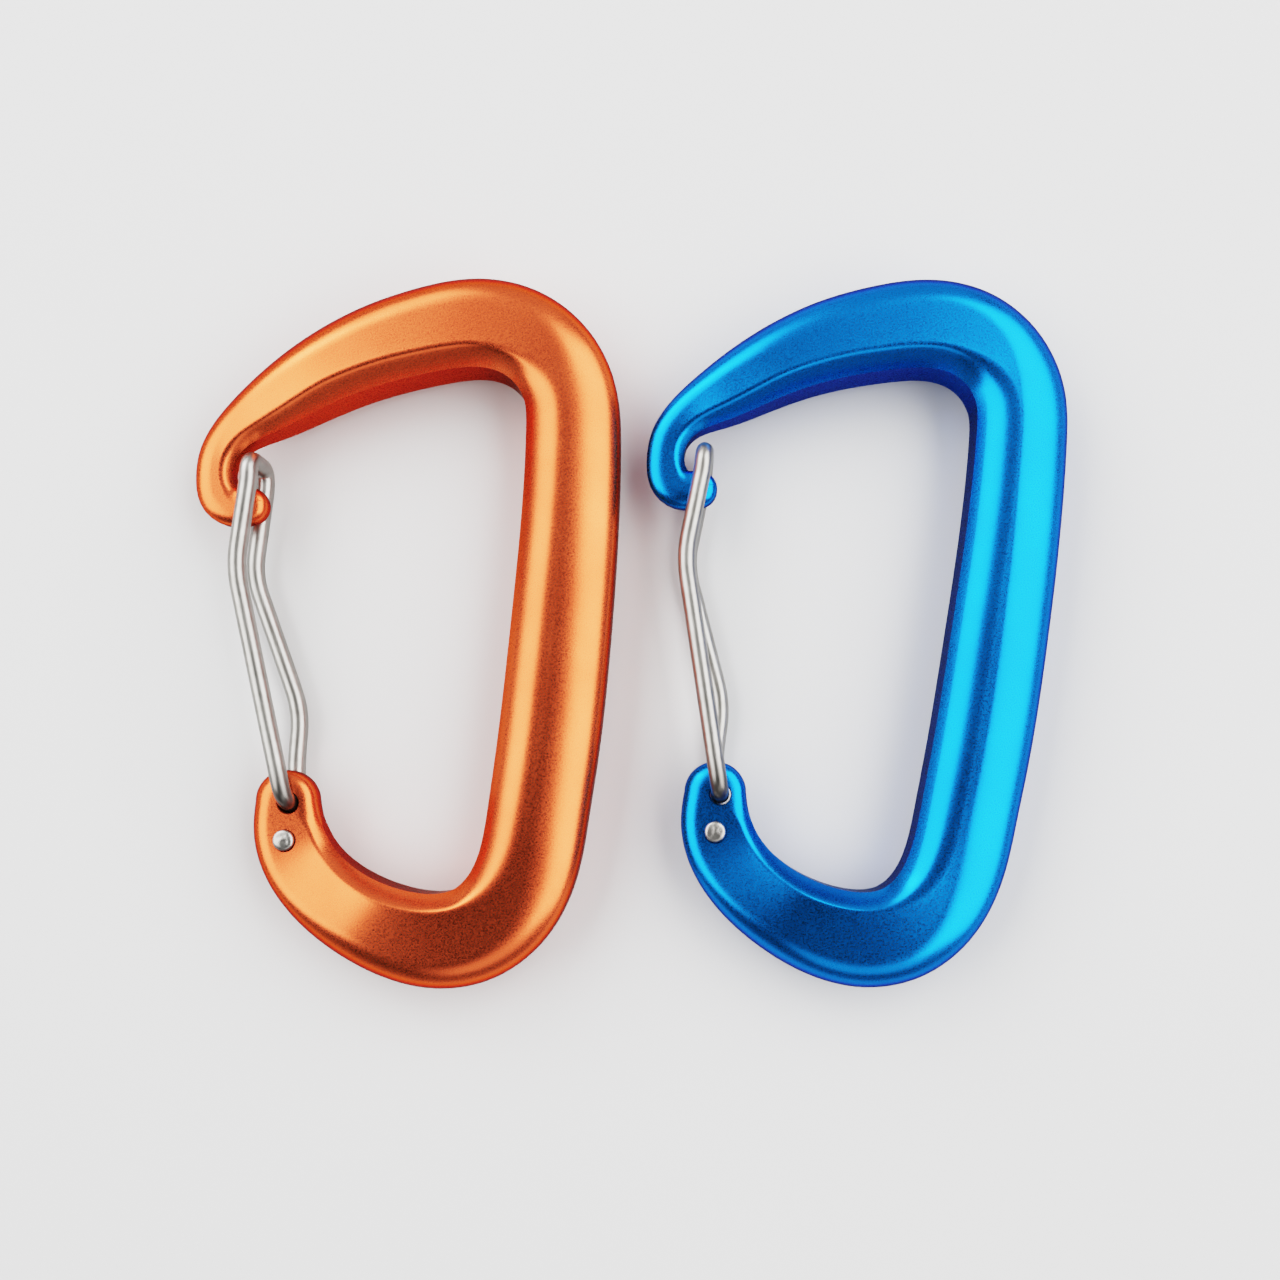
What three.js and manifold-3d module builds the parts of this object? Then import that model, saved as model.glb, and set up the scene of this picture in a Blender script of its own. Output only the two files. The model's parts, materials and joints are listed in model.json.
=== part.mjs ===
// Two matching wire-gate carabiners from a climbing quickdraw, lying side by side on their flat sides.
// Each one is a forged aluminium frame and a bent spring-wire gate. Millimetres, +Z up.
// A carabiner's own frame: +X from the gate to the spine, +Y from the eye to the nose, Z = 0 at mid-depth.
import * as THREE from "three";
import { mergeVertices } from "three/addons/utils/BufferGeometryUtils.js";
import Module from "manifold-3d";

// Depths, measured from the mid-plane
const FRAME_HALF_DEPTH = 4.5;
const NOSE_HALF_DEPTH = 1.5;
const EYE_HALF_DEPTH = 2.1;

// Gate wire
const WIRE_RADIUS = 1.0;
const WIRE_SIDES = 8;
const LEG_OFFSET = 3.3;
const KNEE_OFFSET = 2.8;
const LOOP_OFFSET = 2.7;
const LOOP_CORNER = 2.0;
const FOOT_BEND = 1.5;
const KNEE_BEND = 2.5;
const LOW_LEG_BEND = 3;
const LOOP_LEG_BEND = 0.3;
const GATE_STEPS = 66;
const WIRE_END_STEPS = 20;
const WIRE_JOINT_GAP = 0.6;

// Eye holes for the two wire ends, and the peened end that shows on the front
const FRONT_HOLE = new THREE.Vector2(-13.0, -19.1);
const REAR_HOLE = new THREE.Vector2(-13.4, -23.3);
const HOLE_RADIUS = 1.25;
const HOLE_SIDES = 16;
const HEAD_RADIUS = 1.2;
const HEAD_HEIGHT = 0.45;
const HEAD_SHOULDER = { radiusShare: 0.85, heightShare: 0.7 };
const HEAD_SIDES = 12;
const HEAD_CLEARANCE = 0.15;

// Gate corners in plan: where the legs bend between the eye and the closed loop
const GATE_KNEE = new THREE.Vector2(-18.6, 7.2);
const LOOP_LEG = new THREE.Vector2(-17.2, 17.0);
const LOOP_END = new THREE.Vector2(-17.1, 19.4);
const LOW_KNEE = new THREE.Vector2(-13.3, -8.6);
const LOW_LEG = new THREE.Vector2(-13.9, -15.5);

// Frame section: the inner side is one arc up to a crisp crest, the outer side a wide round shoulder,
// which grows along the spine into a long slanted flank
const INNER_SHOULDER = { base: 0.5, perDepth: 0.3 };
const OUTER_SHOULDER = { base: -1.1, perDepth: 1.05, least: 1.3 };
const ARM_ROUND = { inset: 1, across: 2, height: 2 };
const SPINE_ROUND = { inset: 1.64, across: 1.4, height: 2.4 };
const SPINE_SLOPE = [0.55, 0.95];
const CREST_FLAT = 0.5;
const INNER_ARC_STEPS = [0, 0.4, 0.75, 1];
const OUTER_ARC_STEPS = [1, 2 / 3, 1 / 3, 0];
const RINGS_PER_SPAN = 2;
const CAP_ANGLES = [20, 40, 60, 80];

// Where the pair lies: the second carabiner stands to the right of the first, turned a little
const PAIR_SPACING = new THREE.Vector2(49.4, 0.3);
const SECOND_TURN_DEG = -2.7;

// Forging spread: how far the second frame's nose is pulled in and up, and its gate's lean to meet it
const SECOND_NOSE_SHIFT = new THREE.Vector2(0.8, 0.8);
const SECOND_GATE_LEAN_DEG = -0.8;
const NOSE_SHIFT_SHARES = [1, 1, 1, 1, 0.9, 0.7, 0.5, 0.4, 0.3, 0.1];

// Centreline of the frame from the hook tip round to the eye:
// x, y, half-width in plan, half-depth, depth of the forged channel
const CENTRELINE = [
  [-17.9, 14.6, 2.1, NOSE_HALF_DEPTH, 0],
  [-19.4, 14.4, 2.2, NOSE_HALF_DEPTH, 0],
  [-21.1, 15.3, 2.3, NOSE_HALF_DEPTH, 0],
  [-21.8, 17.5, 2.15, NOSE_HALF_DEPTH, 0],
  [-21.4, 20.2, 2.15, 1.6, 0],
  [-19.6, 22.8, 2.4, 2.1, 0],
  [-15.9, 25.5, 3.2, 3.2, 0],
  [-10.1, 29.1, 4.0, 4.3, 0.2],
  [-3.5, 32.2, 4.6, FRAME_HALF_DEPTH, 0.3],
  [3.0, 34.1, 4.95, FRAME_HALF_DEPTH, 0.3],
  [8.5, 34.8, 5.1, FRAME_HALF_DEPTH, 0.3],
  [13.2, 33.7, 5.15, FRAME_HALF_DEPTH, 0.3],
  [16.6, 31.0, 5.15, FRAME_HALF_DEPTH, 0.2],
  [18.6, 27.0, 5.15, FRAME_HALF_DEPTH, 0.1],
  [18.95, 22.5, 5.2, FRAME_HALF_DEPTH, 0],
  [18.75, 16.0, 5.3, FRAME_HALF_DEPTH, 0],
  [17.5, 0.0, 5.55, FRAME_HALF_DEPTH, 0],
  [16.05, -13.0, 5.6, FRAME_HALF_DEPTH, 0],
  [15.0, -20.1, 5.55, FRAME_HALF_DEPTH, 0.1],
  [13.6, -26.8, 5.55, FRAME_HALF_DEPTH, 0.2],
  [11.3, -31.1, 5.55, FRAME_HALF_DEPTH, 0.3],
  [7.7, -33.9, 5.5, FRAME_HALF_DEPTH, 0.3],
  [3.5, -34.7, 5.4, FRAME_HALF_DEPTH, 0.3],
  [-0.7, -34.0, 5.15, FRAME_HALF_DEPTH, 0.3],
  [-4.8, -32.3, 4.8, 4.4, 0.2],
  [-10.0, -28.5, 4.4, 3.1, 0],
  [-12.4, -25.2, 4.2, 2.2, 0],
  [-13.4, -22.2, 3.95, EYE_HALF_DEPTH, 0],
  [-13.6, -18.9, 3.5, EYE_HALF_DEPTH, 0],
];

const wasm = await Module();
wasm.setup();

const degrees = THREE.MathUtils.degToRad;

// ---- solids ----

function toSolid(geometry) {
  const bare = geometry.clone();
  bare.deleteAttribute("normal");
  bare.deleteAttribute("uv");
  const merged = mergeVertices(bare, 1e-4);
  return new wasm.Manifold(
    new wasm.Mesh({
      numProp: 3,
      vertProperties: merged.attributes.position.array,
      triVerts: new Uint32Array(merged.index.array),
    }),
  );
}

function toGeometry(solid) {
  const { vertProperties, triVerts } = solid.getMesh();
  const geometry = new THREE.BufferGeometry();
  geometry.setAttribute("position", new THREE.BufferAttribute(vertProperties, 3));
  geometry.setIndex(new THREE.BufferAttribute(triVerts, 1));
  geometry.computeVertexNormals();
  return geometry;
}

// A closed skin over rings of equal size, with a fan at each end.
function loft(rings) {
  const size = rings[0].length;
  const points = rings.flat();
  const faces = [];
  for (let r = 0; r + 1 < rings.length; r++) {
    for (let k = 0; k < size; k++) {
      const a = r * size + k;
      const b = r * size + ((k + 1) % size);
      faces.push(a, a + size, b, b, a + size, b + size);
    }
  }
  for (const [ring, start, turned] of [
    [rings[0], 0, true],
    [rings.at(-1), (rings.length - 1) * size, false],
  ]) {
    const middle = new THREE.Vector3();
    ring.forEach((p) => middle.addScaledVector(p, 1 / size));
    const hub = points.push(middle) - 1;
    for (let k = 0; k < size; k++) {
      const a = start + k;
      const b = start + ((k + 1) % size);
      faces.push(...(turned ? [hub, a, b] : [hub, b, a]));
    }
  }
  return new THREE.BufferGeometry().setFromPoints(points).setIndex(faces);
}

// ---- frame ----

// Widths of the inner and the outer shoulder, and the outer one's roundness, at a station.
function shoulders({ halfDepth, spineShare }) {
  const mix = (key) => THREE.MathUtils.lerp(ARM_ROUND[key], SPINE_ROUND[key], spineShare);
  const outer = Math.max(OUTER_SHOULDER.base + OUTER_SHOULDER.perDepth * halfDepth, OUTER_SHOULDER.least);
  const inner = INNER_SHOULDER.base + INNER_SHOULDER.perDepth * halfDepth;
  return {
    inner,
    innerRadius: (inner * inner + halfDepth * halfDepth) / (2 * inner),
    outer: outer * mix("inset"),
    across: mix("across"),
    height: mix("height"),
  };
}

// Height of the frame's face above the mid-plane, at a distance inside the section's edge.
function edgeHeight(inside, isInner, station) {
  const { halfDepth } = station;
  const { inner, innerRadius, outer, across, height } = shoulders(station);
  if (inside >= (isInner ? inner : outer)) return halfDepth;
  if (isInner) return Math.sqrt(Math.max(0, inside * (2 * innerRadius - inside)));
  return halfDepth * (1 - (1 - inside / outer) ** across) ** (1 / height);
}

// Distances across the section, inner edge to outer edge, at which the front face has a vertex.
function sectionStops(station) {
  const { halfWidth, halfDepth } = station;
  const { inner, innerRadius, outer } = shoulders(station);
  const crestAngle = Math.asin(halfDepth / innerRadius);
  const innerStops = INNER_ARC_STEPS.map((s) => innerRadius * (1 - Math.cos(s * crestAngle)) - halfWidth);
  const outerStops = OUTER_ARC_STEPS.map((s) => halfWidth - outer * (1 - Math.cos((s * Math.PI) / 2)));
  const channelStart = inner - halfWidth + CREST_FLAT;
  const channelEnd = halfWidth - outer - CREST_FLAT;
  const channelMiddle = (channelStart + channelEnd) / 2;
  return { stops: [...innerStops, channelStart, channelMiddle, channelEnd, ...outerStops], channelMiddle };
}

// One ring of the frame's skin. capAngle turns a ring into a slice of the rounded end.
function frameRing(station, capAngle = 0, direction = 1) {
  const { at, along, halfWidth, channel } = station;
  const outward = new THREE.Vector2(-along.y, along.x);
  const { stops, channelMiddle } = sectionStops(station);
  const forward = Math.sin(capAngle);
  const narrowed = Math.cos(capAngle);
  const front = stops.map((stop) => {
    const reach = Math.hypot(forward, narrowed * (stop / halfWidth));
    const face = edgeHeight(halfWidth * (1 - reach), stop < 0, station);
    const sunk = stop === channelMiddle ? channel * narrowed : 0;
    return { across: stop * narrowed, height: face - sunk };
  });
  const back = front.slice(1, -1).reverse().map(({ across, height }) => ({ across, height: -height }));
  return [...front, ...back].map(({ across, height }) => {
    const plan = at
      .clone()
      .addScaledVector(along, direction * forward * halfWidth)
      .addScaledVector(outward, across);
    return new THREE.Vector3(plan.x, plan.y, height);
  });
}

function frameStations(noseShift) {
  const route = new THREE.CatmullRomCurve3(
    CENTRELINE.map(([x, y, w], i) => {
      const share = NOSE_SHIFT_SHARES[i] ?? 0;
      return new THREE.Vector3(x + share * noseShift.x, y + share * noseShift.y, w);
    }),
  );
  const depths = new THREE.CatmullRomCurve3(CENTRELINE.map(([, , , h, g]) => new THREE.Vector3(h, g, 0)));
  const count = (CENTRELINE.length - 1) * RINGS_PER_SPAN;
  const stations = [];
  for (let i = 0; i <= count; i++) {
    const t = i / count;
    const place = route.getPoint(t);
    const slope = route.getTangent(t);
    const along = new THREE.Vector2(slope.x, slope.y).normalize();
    const depth = depths.getPoint(t);
    stations.push({
      at: new THREE.Vector2(place.x, place.y),
      along,
      spineShare: THREE.MathUtils.smoothstep(-along.y, ...SPINE_SLOPE),
      halfWidth: place.z,
      halfDepth: Math.min(depth.x, FRAME_HALF_DEPTH),
      channel: Math.max(depth.y, 0),
    });
  }
  return stations;
}

function eyeHole(centre) {
  const length = 4 * EYE_HALF_DEPTH;
  const hole = new THREE.CylinderGeometry(HOLE_RADIUS, HOLE_RADIUS, length, HOLE_SIDES);
  hole.rotateX(Math.PI / 2);
  hole.translate(centre.x, centre.y, 0);
  return toSolid(hole);
}

function frameGeometry(noseShift) {
  const stations = frameStations(noseShift);
  const first = stations[0];
  const last = stations.at(-1);
  const angles = CAP_ANGLES.map(degrees);
  const rings = [
    ...angles.toReversed().map((angle) => frameRing(first, angle, -1)),
    ...stations.map((station) => frameRing(station)),
    ...angles.map((angle) => frameRing(last, angle, 1)),
  ];
  const body = toSolid(loft(rings));
  return toGeometry(body.subtract(eyeHole(FRONT_HOLE)).subtract(eyeHole(REAR_HOLE)));
}

// ---- gate wire ----

// A path of straight runs whose corners are rounded off; corners are [point, bend length] pairs.
function wirePath(corners) {
  const path = new THREE.CurvePath();
  let from = corners[0][0];
  for (let i = 1; i + 1 < corners.length; i++) {
    const [corner, bend] = corners[i];
    const before = corner.clone().add(from.clone().sub(corner).setLength(bend));
    const after = corner.clone().add(corners[i + 1][0].clone().sub(corner).setLength(bend));
    path.add(new THREE.LineCurve3(from, before));
    path.add(new THREE.QuadraticBezierCurve3(before, corner, after));
    from = after;
  }
  path.add(new THREE.LineCurve3(from, corners.at(-1)[0]));
  return path;
}

function wireGeometry(corners, steps) {
  const section = new THREE.Shape();
  section.absarc(0, 0, WIRE_RADIUS, 0, 2 * Math.PI);
  return new THREE.ExtrudeGeometry(section, {
    steps,
    curveSegments: WIRE_SIDES / 2,
    bevelEnabled: false,
    extrudePath: wirePath(corners),
  });
}

const inSpace = (plan, z) => new THREE.Vector3(plan.x, plan.y, z);

// The point on the way from one plan point to another, a set distance along.
function partWay(from, to, distance) {
  return from.clone().add(to.clone().sub(from).setLength(distance));
}

// The front leg's end in its eye hole, both legs and the loop, down to the rear leg's low knee.
function gateGeometry(lean) {
  const leaning = (point) => point.clone().rotateAround(FRONT_HOLE, degrees(lean));
  const knee = leaning(GATE_KNEE);
  const loopLeg = leaning(LOOP_LEG);
  const loopEnd = leaning(LOOP_END);
  const rearEnd = partWay(LOW_KNEE, knee, WIRE_JOINT_GAP / 2);
  return wireGeometry(
    [
      [inSpace(FRONT_HOLE, HEAD_CLEARANCE - EYE_HALF_DEPTH)],
      [inSpace(FRONT_HOLE, LEG_OFFSET), FOOT_BEND],
      [inSpace(knee, KNEE_OFFSET), KNEE_BEND],
      [inSpace(loopLeg, LOOP_OFFSET), LOOP_LEG_BEND],
      [inSpace(loopEnd, LOOP_OFFSET), LOOP_CORNER],
      [inSpace(loopEnd, -LOOP_OFFSET), LOOP_CORNER],
      [inSpace(loopLeg, -LOOP_OFFSET), LOOP_LEG_BEND],
      [inSpace(knee, -KNEE_OFFSET), KNEE_BEND],
      [inSpace(rearEnd, -LEG_OFFSET)],
    ],
    GATE_STEPS,
  );
}

// The rear leg below its low knee, with its end through the eye and the peened head on the front.
function wireEndGeometry() {
  const start = partWay(LOW_KNEE, LOW_LEG, WIRE_JOINT_GAP / 2);
  const wire = wireGeometry(
    [
      [inSpace(start, -LEG_OFFSET)],
      [inSpace(LOW_LEG, -LEG_OFFSET), LOW_LEG_BEND],
      [inSpace(REAR_HOLE, -LEG_OFFSET), FOOT_BEND],
      [inSpace(REAR_HOLE, EYE_HALF_DEPTH + HEAD_CLEARANCE + HEAD_HEIGHT / 2)],
    ],
    WIRE_END_STEPS,
  );
  const head = new THREE.LatheGeometry(
    [
      new THREE.Vector2(0, 0),
      new THREE.Vector2(HEAD_RADIUS, 0),
      new THREE.Vector2(HEAD_RADIUS * HEAD_SHOULDER.radiusShare, HEAD_HEIGHT * HEAD_SHOULDER.heightShare),
      new THREE.Vector2(0, HEAD_HEIGHT),
    ],
    HEAD_SIDES,
  );
  head.rotateX(Math.PI / 2);
  head.translate(REAR_HOLE.x, REAR_HOLE.y, EYE_HALF_DEPTH + HEAD_CLEARANCE);
  return toGeometry(toSolid(wire).add(toSolid(head)));
}

// ---- the pair ----

const STEEL = { color: 0xb9b6ae, roughness: 0.3, metalness: 1 };
const ORANGE = { color: 0xe0702a, roughness: 0.38, metalness: 0.9 };
const BLUE = { color: 0x0a78be, roughness: 0.38, metalness: 0.9 };

function carabiner(name, finish, noseShift, gateLean) {
  const group = new THREE.Group();
  const pieces = {
    frame: [frameGeometry(noseShift), finish],
    gate_wire: [gateGeometry(gateLean), STEEL],
    wire_end: [wireEndGeometry(), STEEL],
  };
  for (const [piece, [geometry, look]] of Object.entries(pieces)) {
    const mesh = new THREE.Mesh(geometry, new THREE.MeshStandardMaterial(look));
    mesh.name = `${name}_${piece}`;
    group.add(mesh);
  }
  return group;
}

const first = carabiner("orange", ORANGE, new THREE.Vector2(), 0);
const second = carabiner("blue", BLUE, SECOND_NOSE_SHIFT, SECOND_GATE_LEAN_DEG);
second.position.set(PAIR_SPACING.x, PAIR_SPACING.y, 0);
second.rotation.z = degrees(SECOND_TURN_DEG);

const pair = new THREE.Group();
pair.add(first, second);
pair.updateMatrixWorld(true);

// The origin is the middle of the pair's footprint, on the surface it lies on.
const box = new THREE.Box3().setFromObject(pair, true);
const centre = box.getCenter(new THREE.Vector3());
pair.position.set(-centre.x, -centre.y, -box.min.z);

export default pair;
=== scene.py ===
"""Looks for a pair of wire-gate carabiners from a climbing quickdraw.

The constants are millimetres in one carabiner's own frame: +X from the gate to the spine,
+Y from the eye to the nose, Z = 0 at mid-depth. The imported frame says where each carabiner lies.
"""

import json
import math

import bpy
import numpy as np
from mathutils import Matrix, Vector


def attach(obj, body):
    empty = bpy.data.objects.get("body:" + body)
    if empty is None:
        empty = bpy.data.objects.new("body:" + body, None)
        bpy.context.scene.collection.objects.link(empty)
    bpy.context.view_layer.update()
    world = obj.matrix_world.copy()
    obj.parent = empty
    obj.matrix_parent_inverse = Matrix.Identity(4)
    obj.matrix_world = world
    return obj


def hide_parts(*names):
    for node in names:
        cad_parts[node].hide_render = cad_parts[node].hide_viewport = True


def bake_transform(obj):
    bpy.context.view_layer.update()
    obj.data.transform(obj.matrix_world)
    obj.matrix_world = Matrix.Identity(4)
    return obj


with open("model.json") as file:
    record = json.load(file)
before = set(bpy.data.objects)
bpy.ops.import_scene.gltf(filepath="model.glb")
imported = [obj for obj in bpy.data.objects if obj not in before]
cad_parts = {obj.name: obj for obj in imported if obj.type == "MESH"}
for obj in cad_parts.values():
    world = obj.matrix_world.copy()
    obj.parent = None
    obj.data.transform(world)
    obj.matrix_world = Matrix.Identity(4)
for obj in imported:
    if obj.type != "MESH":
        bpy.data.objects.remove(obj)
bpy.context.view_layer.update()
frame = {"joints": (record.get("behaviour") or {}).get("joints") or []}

MM = 0.001
# Faces that meet more sharply than this are shaded as an edge
SHARP_ANGLE = math.radians(32)

# Frame: centreline from the hook tip round to the eye, as x, y, half-width, half-depth and
# how far the face falls towards its outer side
FULL_DEPTH = 4.5
FRAME_ROWS = [
    (-17.9, 14.6, 2.1, 1.5, 0),
    (-19.4, 14.4, 2.2, 1.5, 0),
    (-21.1, 15.3, 2.3, 1.5, 0),
    (-21.8, 17.5, 2.15, 1.5, 0),
    (-21.4, 20.2, 2.15, 1.6, 0),
    (-19.6, 22.8, 2.4, 2.1, 0),
    (-15.9, 25.5, 3.2, 3.2, 0.05),
    (-10.1, 29.1, 4.0, 4.3, 0.15),
    (-3.5, 32.2, 4.6, FULL_DEPTH, 0.2),
    (3.0, 34.1, 4.95, FULL_DEPTH, 0.2),
    (8.5, 34.8, 5.1, FULL_DEPTH, 0.2),
    (13.2, 33.7, 5.15, FULL_DEPTH, 0.2),
    (16.6, 31.0, 5.15, FULL_DEPTH, 0.15),
    (18.6, 27.0, 5.15, FULL_DEPTH, 0.05),
    (18.95, 22.5, 5.2, FULL_DEPTH, 0),
    (18.75, 16.0, 5.3, FULL_DEPTH, 0),
    (17.5, 0.0, 5.55, FULL_DEPTH, 0),
    (16.05, -13.0, 5.6, FULL_DEPTH, 0),
    (15.0, -20.1, 5.55, FULL_DEPTH, 0.05),
    (13.6, -26.8, 5.55, FULL_DEPTH, 0.25),
    (11.3, -31.1, 5.55, FULL_DEPTH, 0.5),
    (7.7, -33.9, 5.5, FULL_DEPTH, 0.6),
    (3.5, -34.7, 5.4, FULL_DEPTH, 0.65),
    (-0.7, -34.0, 5.15, FULL_DEPTH, 0.6),
    (-4.8, -32.3, 4.8, 4.4, 0.4),
    (-10.0, -28.5, 4.4, 3.1, 0.1),
    (-12.4, -25.2, 4.2, 2.2, 0),
    (-13.4, -22.2, 3.95, 2.1, 0),
    (-13.6, -18.9, 3.5, 2.1, 0),
]
STATION_GAP = 0.5
DEPTH_SOFTENING = 1.6
CAP_RINGS = 12
CAP_DEGREES = 86
# The crest is the first row of a section that is nearly at the full half-depth
CREST_SHARE = 0.999
# Downward share of the direction over which an arm turns into the spine
SPINE_SLOPE = (0.55, 0.95)

# Section: an upright band on each side, a slanted inner wall, a rounded crest, a face and an outer shoulder.
# The bands are shares of the half-depth. An inset pair is a length and a share of the half-depth.
INNER_BAND = 0.5
OUTER_BAND = 0.2
INNER_INSET = (0.5, 0.3)
INNER_BULGE = math.radians(8)
# Crest rounding on the arms and on the spine, and its most as a share of the inset
CREST_ROUNDING = (0.35, 1.7)
CREST_LIMIT = 0.8
OUTER_INSET = (-1.1, 1.05)
LEAST_OUTER_INSET = 2.1
SPINE_INSET = 5.9
SPINE_INNER_INSET = 0.8
LEAST_FACE = 0.3
FALL_POWER = 0.7
END_ROUNDING = 4.5
# Powers of the shoulder's curve, across and in height
ARM_ROUNDNESS = (2.0, 2.0)
SPINE_ROUNDNESS = (1.4, 2.4)
# Rows along the section's stretches; the face's rows crowd towards the crest
WALL_CURVE_ROWS = 24
WALL_ROWS = 8
CREST_ROWS = 10
FACE_ROWS = 16
FACE_CROWDING = 1.5
SHOULDER_ROWS = 18

# Eye holes and gate wire
FRONT_HOLE = Vector((-13.0, -19.1))
REAR_HOLE = Vector((-13.4, -23.3))
HOLE_RADIUS = 1.2
HOLE_EASING = 0.1
HOLE_SIDES = 48
CUTTER_OVERSHOOT = 1.0
WIRE_RADIUS = 1.0
WIRE_SIDES = 20
WIRE_STEP = 0.25
# A direction that no wire starts along, which sets where its ring angles start
WIRE_GUIDE = (0.0, 0.3, 1.0)
FRONT_END_HEIGHT = -1.8
LEG_HEIGHT = 3.3
KNEE_HEIGHT = 2.8
LOOP_HEIGHT = 2.7
GATE_KNEE = Vector((-18.6, 7.2))
LOOP_LEG = Vector((-17.2, 17.0))
LOOP_END = Vector((-17.1, 19.4))
LOW_KNEE = Vector((-13.3, -8.6))
LOW_LEG = Vector((-13.9, -15.5))
EYE_BEND = 2.4
KNEE_BEND = 2.5
LOOP_LEG_BEND = 0.55
LOOP_BEND = 1.8
LOW_LEG_BEND = 3
BEND_STEPS = 16
# The two pieces of a wire meet this far above the low knee
SPLIT_DISTANCE = 4
# The rear leg's end stops this far above the eye's face, inside the peened end
END_RISE = 0.1

# Peened end: a dome whose dents are hammer marks, and the angles round it where it may touch the eye
HEAD_RADIUS = 1.2
HEAD_HEIGHT = 0.5
HEAD_EDGE = 0.06
HEAD_GAP = 0.04
HEAD_SIDES = 40
HEAD_RINGS = 12
HEAD_CENTRE = 0.02
HEAD_TOUCHES = np.linspace(0, 6, 13)
DOME_POWER = 0.7
DENT_SEEDS = {"orange": 7, "blue": 11}
DENT_COUNT = 5
DENT_REACH = 0.6
DENT_DEPTH = 0.07
DENT_SPREAD = 0.12

# How far the second frame's nose is pulled in and up, and its gate's lean to meet it
NOSE_SHIFT = {"orange": (0.0, 0.0), "blue": (0.8, 0.8)}
NOSE_SHARES = (1, 1, 1, 1, 0.9, 0.7, 0.5, 0.4, 0.3, 0.1)
GATE_LEAN = {"orange": 0.0, "blue": math.radians(-0.8)}

# Anodising: the dye, its deeper tone, and the tint at grazing angles
FINISHES = {
    "orange": ((0.84, 0.12, 0.038), (0.75, 0.1, 0.031), (0.04, 0.02, 0.016)),
    "blue": ((0.001, 0.175, 0.66), (0.001, 0.15, 0.58), (0.015, 0.02, 0.04)),
}
GRAIN_SCALE = 5200
CLOUD_SCALE = 130
SPECK_DARKNESS = 0.7
SPECK_STRENGTH = 0.5
ANODISED_ROUGHNESS = (0.23, 0.33)
ANODISED_COAT = 0.08
ANODISED_COAT_ROUGHNESS = 0.3
GRAIN_BUMP = (0.13, 0.00004)

# Steel: the streaks' two tones, the dull patches, and a darker tone over the wire's first millimetres, in
# and just above the eye's front hole
STEEL_TONES = ((0.26, 0.25, 0.235), (0.34, 0.33, 0.31))
DULL_TONE = (0.2, 0.19, 0.175)
DULL_STRENGTH = 0.35
DARK_START_TONE = (0.09, 0.082, 0.075)
DARK_START_STRENGTH = 0.8
DARK_START_SPAN = (5.5, 9.0)
STREAK_STRETCH = 0.06
STREAK_SCALE = 5.0
BLOTCH_SCALE = 0.9
STEEL_ROUGHNESS = (0.3, 0.4)
STREAK_BUMP = (0.3, 0.00002)
# The head's grain per metre, and a length along the wire that is clear of the darker start
HEAD_GRAIN = 900
HEAD_LENGTH = 30.0

# Floor, in metres
FLOOR_REACH = 3.0
FLOOR_SIDES = 96
FLOOR_DROP = 0.00004
FLOOR_TONE = 0.56
FLOOR_ROUGHNESS = 0.9
FLOOR_GLOSS = 0.1

# Soft lights as compass angle, elevation, width and height in degrees, and radiance
SOFTBOXES = {
    "right": (8, 42, 84, 46, 3.4),
    "left": (165, 41, 66, 44, 3.0),
    "upper left": (124, 30, 34, 26, 2.6),
    "back": (88, 35, 50, 60, 0.4),
    "overhead": (108, 75, 34, 20, 0.16),
    "front": (282, 40, 44, 24, 0.8),
}
LIGHT_DISTANCE = 0.7
# The room is dim overhead and brighter at the horizon
WORLD_LEVEL = 0.02
HORIZON_LEVEL = 0.25
HORIZON_HEIGHT = 0.4

# The picture's contrast: mid-grey's linear light, and how steeply the tones part on either side of it
CONTRAST_MIDDLE = 0.29
CONTRAST_STEEPNESS = 1.3
CONTRAST_STEPS = 12
BRIGHTEST = 3.0

# Straight down from over the pair; the shift is the photograph's framing
CAMERA_PLACE = Vector((0.00976, -0.0179, 0.1451))
CAMERA_LENS = 34.76
CAMERA_SENSOR = 36
CAMERA_SHIFT = (-0.060, 0.1195)
CAMERA_NEAREST = 0.01


# ---- placing ----


def joint_point(name):
    joint = next(j for j in frame["joints"] if j["name"] == name)
    return Vector(joint["pos_m"])


def placement(colour):
    """The matrix from a carabiner's own frame, in millimetres, to the row frame, in metres."""
    hinge = joint_point(f"{colour}_gate_hinge")
    knee = joint_point(f"{colour}_wire_flex")
    span = (knee - hinge).xy
    own_span = LOW_KNEE - FRONT_HOLE
    turn = math.atan2(span.y, span.x) - math.atan2(own_span.y, own_span.x)
    own_hinge = Vector((*FRONT_HOLE, 0))
    return (
        Matrix.Translation(hinge)
        @ Matrix.Rotation(turn, 4, "Z")
        @ Matrix.Scale(MM, 4)
        @ Matrix.Translation(-own_hinge)
    )


def placed(place, points):
    return [place @ Vector(p) for p in points]


# ---- mesh helpers ----


def add_object(name, data):
    made = bpy.data.objects.new(name, data)
    bpy.context.scene.collection.objects.link(made)
    return made


def full_turn(count):
    """Equal angles round a full turn."""
    return np.linspace(0, 2 * math.pi, count + 1)[:-1]


def add_piece(name, points, faces, body, material):
    mesh = bpy.data.meshes.new(name)
    mesh.from_pydata([tuple(p) for p in points], [], faces)
    mesh.update()
    piece = add_object(name, mesh)
    mesh.materials.append(material)
    mesh.polygons.foreach_set("use_smooth", [True] * len(mesh.polygons))
    mesh.set_sharp_from_angle(angle=SHARP_ANGLE)
    if body:
        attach(piece, body)
    return piece


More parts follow.
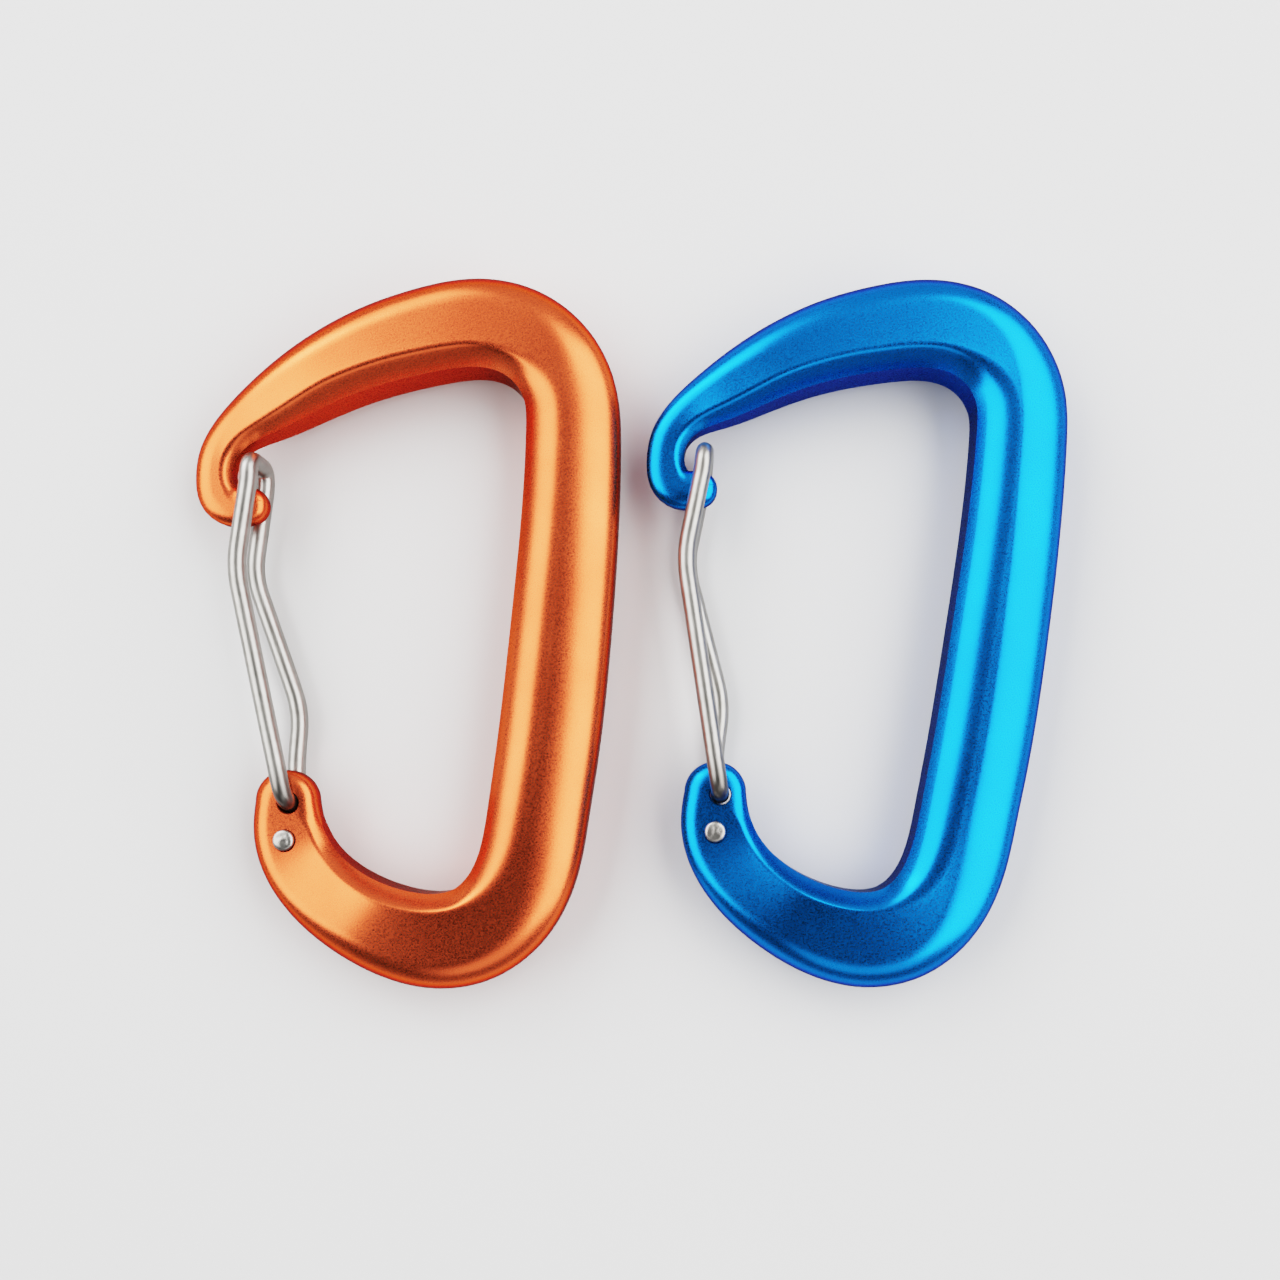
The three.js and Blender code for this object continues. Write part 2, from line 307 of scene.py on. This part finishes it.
def skin(rings):
    """Points and faces of a closed skin over equal rings, with a fan at each end."""
    count, size = len(rings), len(rings[0])
    points = [p for ring in rings for p in ring]
    faces = []
    for r in range(count - 1):
        for k in range(size):
            a = r * size + k
            b = r * size + (k + 1) % size
            faces.append((a, a + size, b + size, b))
    for start, turned in ((0, True), ((count - 1) * size, False)):
        hub = len(points)
        points.append(np.mean(points[start : start + size], axis=0))
        for k in range(size):
            a, b = start + k, start + (k + 1) % size
            faces.append((hub, a, b) if turned else (hub, b, a))
    return points, faces


# ---- frame ----


def smooth_spline(rows, at):
    """Natural cubic spline through the rows, by chord length, at the given lengths."""
    rows = np.asarray(rows, float)
    gaps = np.linalg.norm(np.diff(rows[:, :2], axis=0), axis=1)
    knots = np.concatenate(([0], np.cumsum(gaps)))
    n = len(knots)
    system = np.eye(n)
    right = np.zeros((n, rows.shape[1]))
    for i in range(1, n - 1):
        system[i, i - 1 : i + 2] = gaps[i - 1], 2 * (gaps[i - 1] + gaps[i]), gaps[i]
        slopes = (rows[i + 1] - rows[i]) / gaps[i] - (rows[i] - rows[i - 1]) / gaps[i - 1]
        right[i] = 6 * slopes
    bends = np.linalg.solve(system, right)
    i = np.clip(np.searchsorted(knots, at) - 1, 0, n - 2)
    h = gaps[i][:, None]
    a = (knots[i + 1] - at)[:, None]
    b = (at - knots[i])[:, None]
    return (
        bends[i] * a**3 / (6 * h)
        + bends[i + 1] * b**3 / (6 * h)
        + (rows[i] / h - bends[i] * h / 6) * a
        + (rows[i + 1] / h - bends[i + 1] * h / 6) * b
    )


def softened(values, gap, width):
    """Values at equal gaps, averaged over a bell of that width."""
    reach = int(4 * width / gap)
    bell = np.exp(-0.5 * (np.arange(-reach, reach + 1) * gap / width) ** 2)
    padded = np.pad(values, reach, mode="edge")
    return np.convolve(padded, bell / bell.sum(), mode="valid")


def smoothstep(low, high, x):
    t = np.clip((x - low) / (high - low), 0, 1)
    return t * t * (3 - 2 * t)


def frame_stations(colour):
    """Places along the frame: plan point, direction, half sizes, fall, and shares of spine and end."""
    rows = np.array(FRAME_ROWS, float)
    shift = np.array(NOSE_SHIFT[colour])
    for i, share in enumerate(NOSE_SHARES):
        rows[i, :2] += share * shift
    lengths = np.concatenate(([0], np.cumsum(np.linalg.norm(np.diff(rows[:, :2], axis=0), axis=1))))
    count = int(lengths[-1] / STATION_GAP)
    at = np.linspace(0, lengths[-1], count + 1)
    gap = at[1]
    plan = smooth_spline(rows[:, :3], at)
    along = np.gradient(plan[:, :2], axis=0)
    along /= np.linalg.norm(along, axis=1)[:, None]
    spine = smoothstep(*SPINE_SLOPE, -along[:, 1])
    from_end = np.minimum(at, lengths[-1] - at)
    return {
        "at": plan[:, :2],
        "along": along,
        "half_width": plan[:, 2],
        "half_depth": softened(np.interp(at, lengths, rows[:, 3]), gap, DEPTH_SOFTENING),
        "fall": softened(np.interp(at, lengths, rows[:, 4]), gap, 2 * DEPTH_SOFTENING),
        "spine": softened(spine, gap, 2 * DEPTH_SOFTENING),
        "end": 1 - smoothstep(0, END_ROUNDING, from_end),
    }


def bezier(a, b, c, count):
    t = np.linspace(0, 1, count)[:, None]
    return (1 - t) ** 2 * a + 2 * t * (1 - t) * b + t**2 * c


def upper_section(w, h, fall, spine, end):
    """Upper half of a section as rows of across and height, from the inner edge to the outer one."""
    arm_inset = OUTER_INSET[0] + OUTER_INSET[1] * h
    arm_inset = (arm_inset**4 + LEAST_OUTER_INSET**4) ** 0.25
    inset = INNER_INSET[0] + INNER_INSET[1] * h + SPINE_INNER_INSET * spine
    inset += end * (arm_inset - inset)
    band = (INNER_BAND + end * (OUTER_BAND - INNER_BAND)) * h
    foot = np.array((-w, band))
    crest = np.array((-w + inset, h))
    chord = crest - foot
    normal = np.array((-chord[1], chord[0])) / 2 * math.tan(INNER_BULGE)
    bulge = (foot + crest) / 2 + normal
    bulge += end * (np.array((-w, h)) - bulge)
    wall = bezier(foot, bulge, crest, WALL_CURVE_ROWS)
    rounding = CREST_ROUNDING[0] + spine * (CREST_ROUNDING[1] - CREST_ROUNDING[0])
    rounding = min(rounding, CREST_LIMIT * inset)
    kept = wall[wall[:, 0] < crest[0] - rounding]
    start = np.array((crest[0] - rounding, np.interp(crest[0] - rounding, wall[:, 0], wall[:, 1])))
    wall_rows = resampled(np.vstack((kept, start)), WALL_ROWS)
    crest_end = crest + (rounding, 0)
    crest_rows = bezier(start, crest, crest_end, CREST_ROWS)[1:]

    outer = arm_inset + spine * (SPINE_INSET - arm_inset)
    outer = min(outer, w - crest_end[0] - LEAST_FACE)
    n, m = (a + spine * (b - a) for a, b in zip(ARM_ROUNDNESS, SPINE_ROUNDNESS))
    side = OUTER_BAND * h
    turn = np.linspace(0, math.pi / 2, SHOULDER_ROWS)
    across = np.sin(turn) ** (2 / n)
    upward = np.cos(turn) ** (2 / m)
    shoulder = np.column_stack((w - outer + outer * across, side + (h - side) * upward))
    share = np.linspace(0, 1, FACE_ROWS)[1:-1] ** FACE_CROWDING
    face_x = crest_end[0] + share * (shoulder[0, 0] - crest_end[0])
    face = np.column_stack((face_x, np.full(len(share), h)))
    rows = np.vstack((wall_rows, crest_rows, face, shoulder))
    inside = np.clip((rows[:, 0] - crest[0]) / (w - outer - crest[0]), 0, 1)
    rows[:, 1] *= 1 - fall / h * inside**FALL_POWER
    inner_band = [(-w, 0), (-w, 0.5 * band)]
    outer_band = [(w, 0.5 * side), (w, 0)]
    return np.vstack((inner_band, rows, outer_band))


def resampled(rows, count):
    """That many points at equal gaps along the rows."""
    lengths = np.concatenate(([0], np.cumsum(np.linalg.norm(np.diff(rows, axis=0), axis=1))))
    at = np.linspace(0, lengths[-1], count)
    return np.column_stack([np.interp(at, lengths, rows[:, i]) for i in range(rows.shape[1])])


def frame_ring(stations, i, cap=0.0, direction=1):
    """One ring of the skin. A cap angle makes it a slice of the rounded end.

    A slice keeps the section's edge: its height is the section's at the same distance from the side.
    """
    w, h = stations["half_width"][i], stations["half_depth"][i]
    upper = upper_section(w, h, *(stations[key][i] for key in ("fall", "spine", "end")))
    forward, narrowed = math.sin(cap), math.cos(cap)
    if cap:
        reach = np.hypot(forward, narrowed * upper[:, 0] / w)
        inner = upper[:, 0] < 0
        crest = int(np.argmax(upper[:, 1] > CREST_SHARE * h))
        inside = w * (1 - reach)
        inner_rows = upper[: crest + 1]
        outer_rows = upper[::-1]
        inner_height = np.interp(inside, inner_rows[:, 0] + w, inner_rows[:, 1])
        outer_height = np.interp(inside, w - outer_rows[:, 0], outer_rows[:, 1])
        upper = np.column_stack((upper[:, 0] * narrowed, np.where(inner, inner_height, outer_height)))
        upper[[0, -1], 1] = 0
    lower = upper[-2:0:-1] * (1, -1)
    rows = np.vstack((upper, lower))
    tx, ty = stations["along"][i]
    x, y = stations["at"][i]
    plan_x = x + direction * forward * w * tx - rows[:, 0] * ty
    plan_y = y + direction * forward * w * ty + rows[:, 0] * tx
    return np.column_stack((plan_x, plan_y, rows[:, 1]))


def frame_skin(stations):
    last = len(stations["spine"]) - 1
    angles = np.radians(np.linspace(0, CAP_DEGREES, CAP_RINGS + 1)[1:])
    rings = [frame_ring(stations, 0, a, -1) for a in angles[::-1]]
    rings += [frame_ring(stations, i) for i in range(last + 1)]
    rings += [frame_ring(stations, last, a, 1) for a in angles]
    return skin(rings)


def face_height(stations, point):
    """Height of the frame's face above the mid-plane near a plan point."""
    nearest = np.argmin(np.linalg.norm(stations["at"] - np.array(point), axis=1))
    return stations["half_depth"][nearest]


def hole_cutter(stations, centre, place):
    """A bore through the eye with eased edges on both faces."""
    h = face_height(stations, centre)
    mouth = HOLE_RADIUS + HOLE_EASING + CUTTER_OVERSHOOT
    profile = [
        (mouth, -h - CUTTER_OVERSHOOT),
        (HOLE_RADIUS, -h + HOLE_EASING),
        (HOLE_RADIUS, h - HOLE_EASING),
        (mouth, h + CUTTER_OVERSHOOT),
    ]
    turns = full_turn(HOLE_SIDES)
    rings = [
        [(centre.x + r * math.cos(a), centre.y + r * math.sin(a), z) for a in turns] for r, z in profile
    ]
    points, faces = skin(rings)
    mesh = bpy.data.meshes.new("cutter")
    mesh.from_pydata(placed(place, points), [], [f[::-1] for f in faces])
    mesh.update()
    return add_object("cutter", mesh)


def cut(piece, cutters):
    """Takes the cutters out of the piece, for good, and removes them."""
    for cutter in cutters:
        step = piece.modifiers.new("bore", "BOOLEAN")
        step.operation = "DIFFERENCE"
        step.solver = "EXACT"
        step.object = cutter
    graph = bpy.context.evaluated_depsgraph_get()
    made = bpy.data.meshes.new_from_object(piece.evaluated_get(graph))
    piece.modifiers.clear()
    piece.data = made
    for cutter in cutters:
        bpy.data.objects.remove(cutter)


def build_frame(colour, place, stations, material):
    points, faces = frame_skin(stations)
    points = placed(place, points)
    name = f"{colour}_forged_frame"
    piece = add_piece(name, points, faces, f"{colour}_carabiner", material)
    cut(piece, [hole_cutter(stations, hole, place) for hole in (FRONT_HOLE, REAR_HOLE)])
    piece.data.set_sharp_from_angle(angle=SHARP_ANGLE)
    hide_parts(f"{colour}_frame")


# ---- gate wire ----


def wire_route(corners):
    """Points at equal gaps along straight runs with rounded corners; corners are (point, bend)."""
    route = [np.array(corners[0][0], float)]
    for (before, _), (corner, bend), (after, _) in zip(corners, corners[1:], corners[2:]):
        corner = Vector(corner)
        arrive = corner + (Vector(before) - corner).normalized() * bend
        leave = corner + (Vector(after) - corner).normalized() * bend
        route.extend(bezier(np.array(arrive), np.array(corner), np.array(leave), BEND_STEPS))
    route.append(np.array(corners[-1][0], float))
    route = np.array(route)
    length = np.linalg.norm(np.diff(route, axis=0), axis=1).sum()
    return resampled(route, int(length / WIRE_STEP) + 1)


def wire_skin(route):
    """A round wire along the route, with its ring angles turning as little as they can."""
    tangents = np.gradient(route, axis=0)
    tangents /= np.linalg.norm(tangents, axis=1)[:, None]
    side = np.cross(tangents[0], WIRE_GUIDE)
    turns = full_turn(WIRE_SIDES)
    rings = []
    for point, tangent in zip(route, tangents):
        side = side - tangent * side.dot(tangent)
        side /= np.linalg.norm(side)
        up = np.cross(side, tangent)
        rings.append([point + WIRE_RADIUS * (math.cos(a) * side + math.sin(a) * up) for a in turns])
    return skin(rings)


def in_space(plan, z):
    return Vector((plan.x, plan.y, z))


def mark_points(piece, values):
    """Stores the place in the drawn streaks for each of the piece's points."""
    mark = piece.data.attributes.new("wire_place", "FLOAT_VECTOR", "POINT")
    mark.data.foreach_set("vector", np.array(values, np.float32).ravel())


def add_wire(name, route, start, body, place, material):
    """A wire whose points are marked with cos, sin and the millimetres along it, counted from start."""
    points, faces = wire_skin(route)
    wire = add_piece(name, placed(place, points), faces, body, material)
    values = []
    for i in range(len(route)):
        for k in range(WIRE_SIDES):
            angle = 2 * math.pi * k / WIRE_SIDES
            values.append((math.cos(angle), math.sin(angle), start + i * WIRE_STEP))
    values += [(0, 0, start), (0, 0, start + (len(route) - 1) * WIRE_STEP)]
    mark_points(wire, values)
    return wire


def build_wire(colour, place, stations, material):
    """One bent wire in two pieces: the loop with both legs, and the rear leg's foot."""
    lean = GATE_LEAN[colour]

    def leaning(point):
        return FRONT_HOLE + Matrix.Rotation(lean, 2) @ (point - FRONT_HOLE)

    knee, loop_leg, loop_end = leaning(GATE_KNEE), leaning(LOOP_LEG), leaning(LOOP_END)
    up_leg = (knee - LOW_KNEE).normalized()
    split = LOW_KNEE + up_leg * SPLIT_DISTANCE
    gate_route = wire_route(
        [
            (in_space(FRONT_HOLE, FRONT_END_HEIGHT), 0),
            (in_space(FRONT_HOLE, LEG_HEIGHT), EYE_BEND),
            (in_space(knee, KNEE_HEIGHT), KNEE_BEND),
            (in_space(loop_leg, LOOP_HEIGHT), LOOP_LEG_BEND),
            (in_space(loop_end, LOOP_HEIGHT), LOOP_BEND),
            (in_space(loop_end, -LOOP_HEIGHT), LOOP_BEND),
            (in_space(loop_leg, -LOOP_HEIGHT), LOOP_LEG_BEND),
            (in_space(knee, -KNEE_HEIGHT), KNEE_BEND),
            (in_space(split, -LEG_HEIGHT), 0),
        ]
    )
    gate = add_wire(f"{colour}_gate_loop", gate_route, 0.0, f"{colour}_gate", place, material)
    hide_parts(f"{colour}_gate_wire")

    face = face_height(stations, REAR_HOLE)
    end_route = wire_route(
        [
            (in_space(split, -LEG_HEIGHT), 0),
            (in_space(LOW_KNEE, -LEG_HEIGHT), KNEE_BEND),
            (in_space(LOW_LEG, -LEG_HEIGHT), LOW_LEG_BEND),
            (in_space(REAR_HOLE, -LEG_HEIGHT), EYE_BEND),
            (in_space(REAR_HOLE, face + END_RISE), 0),
        ]
    )
    end = add_wire(f"{colour}_gate_foot", end_route, len(gate_route) * WIRE_STEP, None, place, material)
    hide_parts(f"{colour}_wire_end")
    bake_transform(end)


def build_head(colour, place, stations, material):
    """The wire's peened end: a low dome with a hammered top, resting on the eye."""
    rng = np.random.default_rng(DENT_SEEDS[colour])
    edge = [REAR_HOLE + Vector((math.cos(a), math.sin(a))) * HEAD_RADIUS for a in HEAD_TOUCHES]
    rest = max(face_height(stations, point) for point in edge) + HEAD_GAP
    dents = rng.uniform(-DENT_REACH, DENT_REACH, (DENT_COUNT, 2))
    rings = []
    for t in np.linspace(HEAD_CENTRE, 1, HEAD_RINGS):
        radius = HEAD_RADIUS * math.sin(t * math.pi / 2)
        ring = []
        for a in full_turn(HEAD_SIDES):
            x, y = radius * math.cos(a), radius * math.sin(a)
            height = HEAD_HEIGHT * math.cos(t * math.pi / 2) ** DOME_POWER
            for dx, dy in dents:
                distance = (x - dx) ** 2 + (y - dy) ** 2
                height -= DENT_DEPTH * math.exp(-distance / DENT_SPREAD) * (1 - t**2)
            ring.append((REAR_HOLE.x + x, REAR_HOLE.y + y, rest + HEAD_EDGE + height))
        rings.append(ring)
    rings.append([(x, y, rest) for x, y, _ in rings[-1]])
    points, faces = skin(rings)
    points = placed(place, points)
    name = f"{colour}_peened_end"
    head = add_piece(name, points, faces, f"{colour}_wire_foot", material)
    mark_points(head, [(p[0] * HEAD_GRAIN, p[1] * HEAD_GRAIN, HEAD_LENGTH) for p in points])


# ---- materials ----


def new_material(name):
    material = bpy.data.materials.new(name)
    material.use_nodes = True
    nodes = material.node_tree.nodes
    return material, nodes, material.node_tree.links, nodes["Principled BSDF"]


def noise(nodes, links, coordinate, scale, detail=2.0):
    texture = nodes.new("ShaderNodeTexNoise")
    texture.inputs["Scale"].default_value = scale
    texture.inputs["Detail"].default_value = detail
    links.new(coordinate, texture.inputs["Vector"])
    return texture.outputs["Fac"]


def mix_colour(nodes, links, factor, a, b):
    mix = nodes.new("ShaderNodeMix")
    mix.data_type = "RGBA"
    links.new(factor, mix.inputs["Factor"])
    for socket, value in ((mix.inputs[6], a), (mix.inputs[7], b)):
        if isinstance(value, tuple):
            socket.default_value = (*value, 1)
        else:
            links.new(value, socket)
    return mix.outputs[2]


def map_range(nodes, links, value, from_low, from_high, to_low, to_high):
    node = nodes.new("ShaderNodeMapRange")
    links.new(value, node.inputs["Value"])
    node.inputs["From Min"].default_value = from_low
    node.inputs["From Max"].default_value = from_high
    node.inputs["To Min"].default_value = to_low
    node.inputs["To Max"].default_value = to_high
    return node.outputs["Result"]


def add_bump(nodes, links, shader, height, strength, distance):
    bump = nodes.new("ShaderNodeBump")
    bump.inputs["Strength"].default_value = strength
    bump.inputs["Distance"].default_value = distance
    links.new(height, bump.inputs["Height"])
    links.new(bump.outputs["Normal"], shader.inputs["Normal"])


def anodised(name, colour, deep, edge):
    """Dyed anodising over a bead-blasted forging: fine sparkle grain and slow changes of tone."""
    material, nodes, links, shader = new_material(name)
    place = nodes.new("ShaderNodeTexCoord").outputs["Object"]
    grain = noise(nodes, links, place, GRAIN_SCALE, 1.5)
    cloud = noise(nodes, links, place, CLOUD_SCALE, 3)
    tone = mix_colour(nodes, links, map_range(nodes, links, cloud, 0.3, 0.7, 0, 1), deep, colour)
    dark = tuple(SPECK_DARKNESS * c for c in deep)
    speck = map_range(nodes, links, grain, 0.25, 0.42, SPECK_STRENGTH, 0)
    links.new(mix_colour(nodes, links, speck, tone, dark), shader.inputs["Base Color"])
    roughness = map_range(nodes, links, grain, 0.3, 0.7, *ANODISED_ROUGHNESS)
    links.new(roughness, shader.inputs["Roughness"])
    shader.inputs["Metallic"].default_value = 1.0
    shader.inputs["Specular Tint"].default_value = (*edge, 1)
    shader.inputs["Coat Weight"].default_value = ANODISED_COAT
    shader.inputs["Coat Roughness"].default_value = ANODISED_COAT_ROUGHNESS
    add_bump(nodes, links, shader, grain, *GRAIN_BUMP)
    return material


def steel_wire():
    """Drawn stainless spring wire: streaks along it, dull patches, and a darker tone where it starts, in and
    just above the eye's front hole.
    """
    material, nodes, links, shader = new_material("gate_steel")
    place = nodes.new("ShaderNodeAttribute")
    place.attribute_name = "wire_place"
    scale = nodes.new("ShaderNodeVectorMath")
    scale.operation = "MULTIPLY"
    scale.inputs[1].default_value = (1.0, 1.0, STREAK_STRETCH)
    links.new(place.outputs["Vector"], scale.inputs[0])
    streak = noise(nodes, links, scale.outputs["Vector"], STREAK_SCALE, 3)
    blotch = noise(nodes, links, place.outputs["Vector"], BLOTCH_SCALE, 2)
    tone = mix_colour(nodes, links, streak, *STEEL_TONES)
    dull = map_range(nodes, links, blotch, 0.35, 0.6, DULL_STRENGTH, 0)
    drawn = mix_colour(nodes, links, dull, tone, DULL_TONE)
    length = nodes.new("ShaderNodeSeparateXYZ")
    links.new(place.outputs["Vector"], length.inputs[0])
    # Darker over the wire's first millimetres, in and just above the eye's front hole
    dark_start = map_range(nodes, links, length.outputs["Z"], *DARK_START_SPAN, DARK_START_STRENGTH, 0)
    darkened = mix_colour(nodes, links, dark_start, drawn, DARK_START_TONE)
    links.new(darkened, shader.inputs["Base Color"])
    roughness = map_range(nodes, links, streak, 0.3, 0.7, *STEEL_ROUGHNESS)
    links.new(roughness, shader.inputs["Roughness"])
    shader.inputs["Metallic"].default_value = 1.0
    add_bump(nodes, links, shader, streak, *STREAK_BUMP)
    return material


# ---- stage ----


def build_floor():
    mesh = bpy.data.meshes.new("floor")
    turns = full_turn(FLOOR_SIDES)
    rim = [(FLOOR_REACH * math.cos(a), FLOOR_REACH * math.sin(a), -FLOOR_DROP) for a in turns]
    mesh.from_pydata(rim, [], [range(FLOOR_SIDES)])
    floor = add_object("floor", mesh)
    material, _, _, shader = new_material("pale_floor")
    shader.inputs["Base Color"].default_value = (FLOOR_TONE, FLOOR_TONE, FLOOR_TONE, 1)
    shader.inputs["Roughness"].default_value = FLOOR_ROUGHNESS
    shader.inputs["Specular IOR Level"].default_value = FLOOR_GLOSS
    mesh.materials.append(material)


def build_lights():
    for name, (compass, elevation, width, height, radiance) in SOFTBOXES.items():
        light = bpy.data.lights.new(name, "AREA")
        light.shape = "RECTANGLE"
        light.size = 2 * LIGHT_DISTANCE * math.tan(math.radians(width / 2))
        light.size_y = 2 * LIGHT_DISTANCE * math.tan(math.radians(height / 2))
        light.energy = math.pi * light.size * light.size_y * radiance
        lamp = add_object(name, light)
        a, e = math.radians(compass), math.radians(elevation)
        out = Vector((math.cos(a) * math.cos(e), math.sin(a) * math.cos(e), math.sin(e)))
        lamp.location = out * LIGHT_DISTANCE
        lamp.rotation_euler = (-out).to_track_quat("-Z", "Y").to_euler()
        lamp.visible_camera = False
    world = bpy.data.worlds.new("room")
    world.use_nodes = True
    nodes, links = world.node_tree.nodes, world.node_tree.links
    background = nodes["Background"]
    height = nodes.new("ShaderNodeSeparateXYZ")
    links.new(nodes.new("ShaderNodeTexCoord").outputs["Generated"], height.inputs[0])
    glow = map_range(nodes, links, height.outputs["Z"], 0, HORIZON_HEIGHT, HORIZON_LEVEL, WORLD_LEVEL)
    background.inputs["Color"].default_value = (1, 1, 1, 1)
    links.new(glow, background.inputs["Strength"])
    bpy.context.scene.world = world


def set_contrast():
    """A soft-toed, soft-shouldered tone curve over the whole range of light."""
    settings = bpy.context.scene.view_settings
    settings.view_transform = "Standard"
    settings.use_curve_mapping = True
    mapping = settings.curve_mapping
    mapping.white_level = (BRIGHTEST,) * 3
    curve = mapping.curves[3]
    for i in range(1, CONTRAST_STEPS + 1):
        share = (i / CONTRAST_STEPS) ** 2
        x = (share * BRIGHTEST / CONTRAST_MIDDLE) ** CONTRAST_STEEPNESS
        if i < CONTRAST_STEPS:
            curve.points.new(share, x / (1 + x))
        else:
            curve.points[-1].location = (1, x / (1 + x))
    mapping.update()


def build_camera():
    data = bpy.data.cameras.new("camera")
    data.sensor_width = CAMERA_SENSOR
    data.lens = CAMERA_LENS
    data.shift_x, data.shift_y = CAMERA_SHIFT
    data.clip_start = CAMERA_NEAREST
    camera = add_object("camera", data)
    camera.location = CAMERA_PLACE
    bpy.context.scene.camera = camera


set_contrast()
build_camera()
build_lights()
build_floor()
finishes = {colour: anodised(f"{colour}_anodised", *tones) for colour, tones in FINISHES.items()}
steel = steel_wire()
for colour, finish in finishes.items():
    place = placement(colour)
    stations = frame_stations(colour)
    build_frame(colour, place, stations, finish)
    build_wire(colour, place, stations, steel)
    build_head(colour, place, stations, steel)
